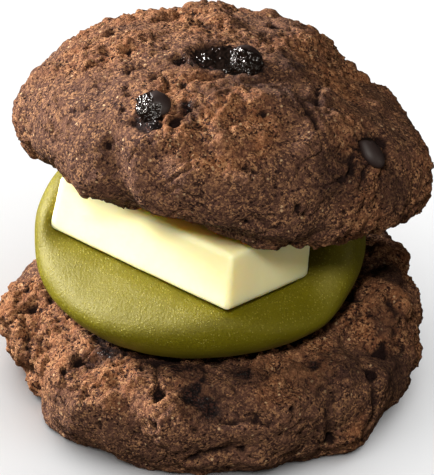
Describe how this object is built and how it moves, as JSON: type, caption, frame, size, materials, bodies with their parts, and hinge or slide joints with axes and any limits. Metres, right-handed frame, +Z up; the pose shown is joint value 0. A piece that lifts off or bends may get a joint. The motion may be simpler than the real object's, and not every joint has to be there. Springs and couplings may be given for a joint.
{
  "type": "scone sandwich",
  "caption": "Craggy chocolate scone split in half and filled with a flattened ball of matcha bean paste and a thick slab of butter.",
  "frame": {"origin": "on the surface it stands on, under the middle of the whole sandwich", "axes": "+Z up; the side seen in the picture, with the butter showing, faces -Y, and +X is to the viewer's right"},
  "size_m": [0.074, 0.075, 0.0661],
  "materials": {
    "scone_crumb": null,
    "chocolate": "glossy dark melted chocolate pieces, half sunk in the crumb",
    "matcha_paste": "smooth, moist, dense olive green bean paste with a soft broad sheen and fine sugar specks",
    "butter": "cold pale yellow butter, smooth and softly translucent"
  },
  "bodies": {
    "root": {"bottom_scone": "scone_crumb", "matcha_paste": "matcha_paste", "butter_slab": "butter", "top_scone": "scone_crumb"}
  },
  "joints": []
}
